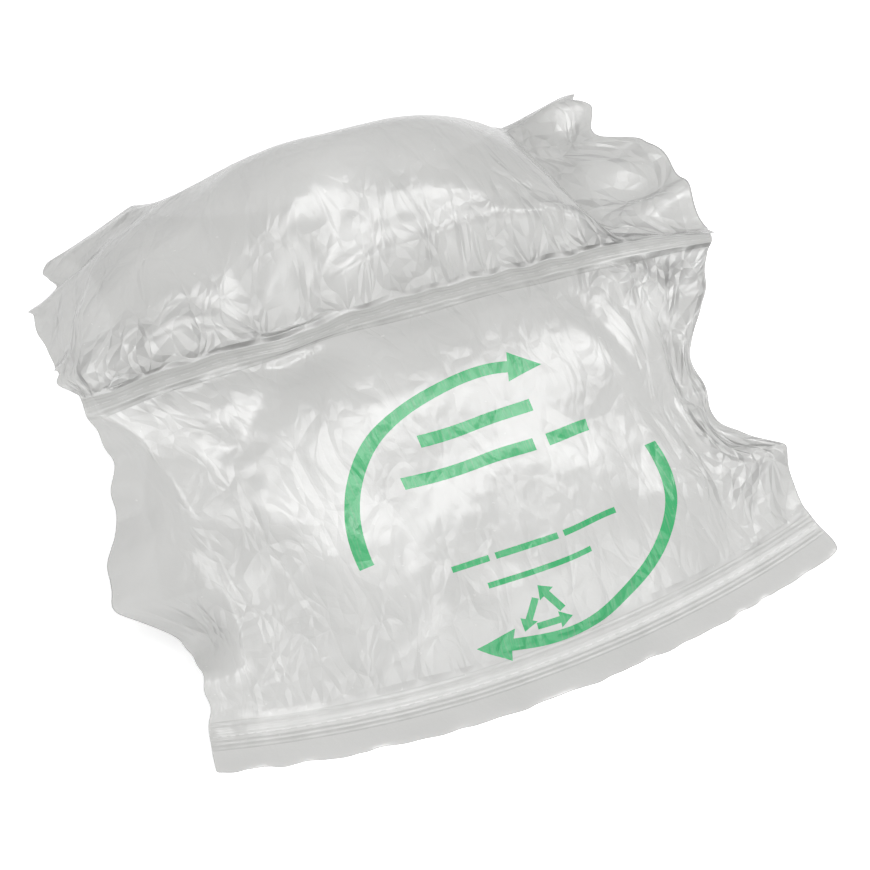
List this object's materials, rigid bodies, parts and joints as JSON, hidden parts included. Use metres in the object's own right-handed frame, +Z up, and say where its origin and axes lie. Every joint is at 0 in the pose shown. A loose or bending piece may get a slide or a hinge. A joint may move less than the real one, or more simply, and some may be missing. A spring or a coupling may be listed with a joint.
{
  "type": "air pillow strip",
  "caption": "Folded strip of inflated film air pillows, joined at perforated cross seals and with loose film flanges at both ends, used to fill the space round goods in a box.",
  "frame": {"origin": "on the floor under the middle of the bundle", "axes": "+X across the film web, +Y from the torn front edge to the rear fold, +Z up"},
  "size_m": [0.222, 0.2078, 0.0945],
  "materials": {
    "film": "thin milky see-through film, glossy and finely crinkled"
  },
  "bodies": {
    "root": {"air_pillow_strip": "film"}
  },
  "joints": []
}
